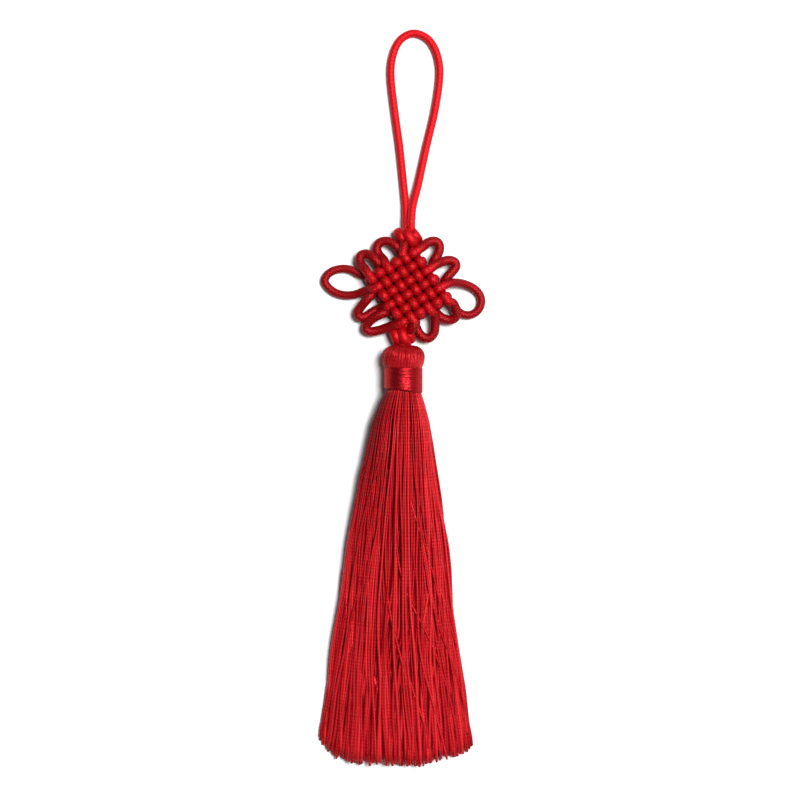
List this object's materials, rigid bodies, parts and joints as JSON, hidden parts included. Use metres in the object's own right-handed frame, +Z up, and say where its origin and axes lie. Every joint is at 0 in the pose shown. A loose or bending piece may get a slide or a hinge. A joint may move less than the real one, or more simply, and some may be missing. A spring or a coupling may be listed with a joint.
{
  "type": "knotted cord tassel",
  "caption": "Lying tassel with a cord hanging loop, a woven diamond knot with ears and a bound skirt of loose threads.",
  "frame": {"origin": "middle of the tassel's outline, on the surface it lies on", "axes": "+Y up the tassel towards its hanging loop, +X to its right, +Z up from the surface it lies on"},
  "size_m": [0.0552, 0.2428, 0.0129],
  "materials": {
    "braided_cord": "satin braided cord, red",
    "silk_thread": "glossy twisted thread, red"
  },
  "bodies": {
    "root": {"hanging_loop": "braided_cord", "connection_knot_top": "braided_cord", "knot_strand_left": "braided_cord", "knot_strand_right": "braided_cord", "connection_knot_low": "braided_cord", "binding": "silk_thread", "tassel": "silk_thread"}
  },
  "joints": []
}
